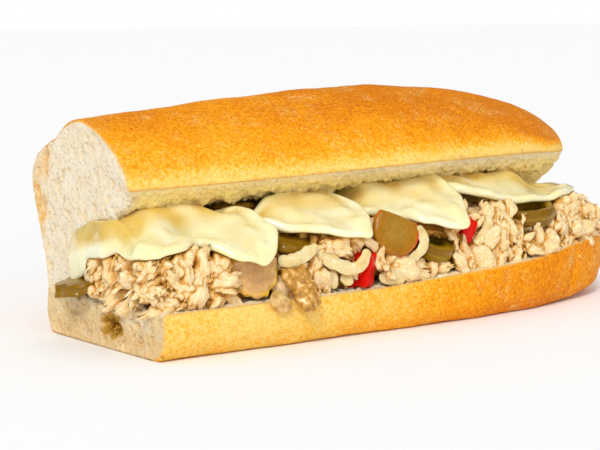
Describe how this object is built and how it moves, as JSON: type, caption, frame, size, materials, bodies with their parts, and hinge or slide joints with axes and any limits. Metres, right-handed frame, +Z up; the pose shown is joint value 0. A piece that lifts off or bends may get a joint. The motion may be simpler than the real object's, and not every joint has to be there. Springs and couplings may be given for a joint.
{
  "type": "submarine sandwich",
  "caption": "Cut half of a soft white submarine roll, hinged along its back, filled with shredded chicken, melted cheese slices, pickle, pepper and onion.",
  "frame": {"origin": "on the board, under the middle of the whole sandwich's box", "axes": "+X along the roll from its cut end to its rounded end, +Y from the open mouth to the hinge, +Z up"},
  "size_m": [0.1617, 0.0634, 0.0572],
  "materials": {
    "crust": "soft baked crust, cream crumb where cut",
    "chicken": "moist shredded meat",
    "browned_chicken": "moist browned meat",
    "cheese": "melted, softly glossy",
    "pickle": "wet",
    "brined_vegetable": "wet, slightly see-through",
    "red_pepper": "wet",
    "onion": "wet, slightly see-through"
  },
  "bodies": {
    "root": {"bread": "crust", "chicken": "chicken", "cheese_slice_1": "cheese", "cheese_slice_2": "cheese", "cheese_slice_3": "cheese", "cheese_slice_4": "cheese", "pickle_end": "pickle", "pickle_back": "pickle", "pickle_under": "pickle", "pepper_ring_front": "pickle", "pepper_ring_right": "pickle", "brined_slice_left": "brined_vegetable", "brined_slice_right": "brined_vegetable", "red_dice_front": "red_pepper", "red_dice_right": "red_pepper", "onion_strand_left": "onion", "onion_loop": "onion", "onion_tail": "onion", "onion_bulb": "onion", "onion_petal": "onion", "onion_arc": "onion", "onion_arc_right": "onion", "onion_scrap": "onion", "browned_chunk": "browned_chicken"}
  },
  "joints": []
}
